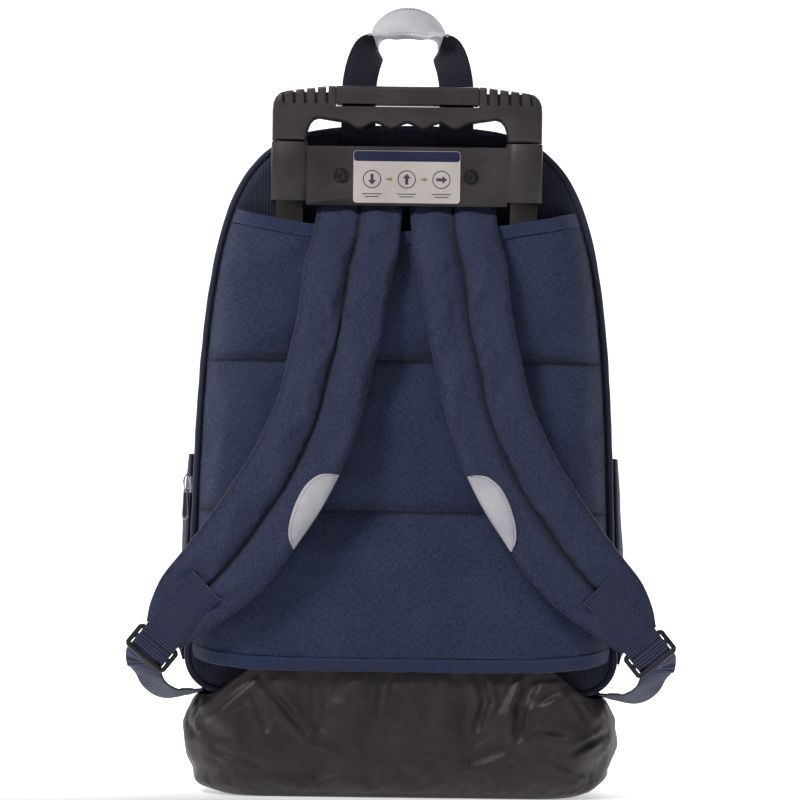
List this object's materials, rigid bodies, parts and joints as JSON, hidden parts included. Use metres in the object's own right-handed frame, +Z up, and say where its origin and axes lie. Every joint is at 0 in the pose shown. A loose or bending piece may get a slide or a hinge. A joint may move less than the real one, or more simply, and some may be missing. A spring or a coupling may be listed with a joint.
{
  "type": "wheeled backpack",
  "caption": "School backpack with padded back and shoulder straps, a push-down trolley handle on rails, and a cloth cover over its wheels.",
  "frame": {"origin": "on the floor, under the middle of the base from side to side", "axes": "+Z up, -Y towards the wearer's back, +X to the viewer's right when the back pad faces the viewer"},
  "size_m": [0.3978, 0.2237, 0.5754],
  "materials": {
    "cloth": "fine heathered weave, dark navy",
    "webbing": "ribbed webbing and zip tape, navy",
    "binding": "stitched binding tape, brighter blue",
    "reflector": "light grey reflective cloth",
    "nylon": "smooth creased nylon, brown charcoal",
    "moulding": "matte moulded plastic, brown grey",
    "buckle": "satin black plastic",
    "label": "printed card under satin film",
    "rail": "dark anodised tube",
    "steel": "plain bright steel",
    "tyre": "matt black rubber"
  },
  "bodies": {
    "bag": {"back_wall": "cloth", "rear_gusset": "cloth", "front_shell": "cloth", "main_zip": "webbing", "rear_piping": "webbing", "front_piping": "webbing", "front_pocket": "cloth", "pocket_zip": "webbing", "side_pocket_left": "cloth", "side_pocket_right": "cloth", "back_pad": "cloth", "pad_bottom_binding": "binding", "pad_top_binding": "binding", "strap_left": "cloth", "strap_webbing_left": "webbing", "buckle_left": "buckle", "adjuster_left": "webbing", "reflector_left": "reflector", "strap_right": "cloth", "strap_webbing_right": "webbing", "buckle_right": "buckle", "adjuster_right": "webbing", "reflector_right": "reflector", "carry_webbing": "webbing", "carry_wrap": "reflector", "bracket": "moulding", "screw_left": "moulding", "screw_right": "moulding", "label": "label", "rail_left": "rail", "rail_right": "rail", "base_frame": "moulding", "wheel_cover": "nylon", "zip_slider": "steel", "zip_pull": "steel"},
    "handle": {"grip": "moulding", "tube_left": "steel", "tube_right": "steel"},
    "release": {"release_bar": "moulding"},
    "wheel_left_body": {"wheel_left": "tyre"},
    "wheel_right_body": {"wheel_right": "tyre"}
  },
  "joints": [
    {"name": "handle_slide", "type": "slide", "parent": "bag", "child": "handle", "axis": [0, 0, 1], "range_m": [0, 0.35]},
    {"name": "release_press", "type": "slide", "parent": "handle", "child": "release", "axis": [0, 0, -1], "range_m": [0, 0.0016], "stiffness_N_per_m": 1000, "springref_m": -0.002},
    {"name": "wheel_left_spin", "type": "hinge", "parent": "bag", "child": "wheel_left_body", "pos_m": [-0.115, -0.05, 0.0318], "axis": [1, 0, 0], "continuous": true},
    {"name": "wheel_right_spin", "type": "hinge", "parent": "bag", "child": "wheel_right_body", "pos_m": [0.115, -0.05, 0.0318], "axis": [1, 0, 0], "continuous": true}
  ]
}
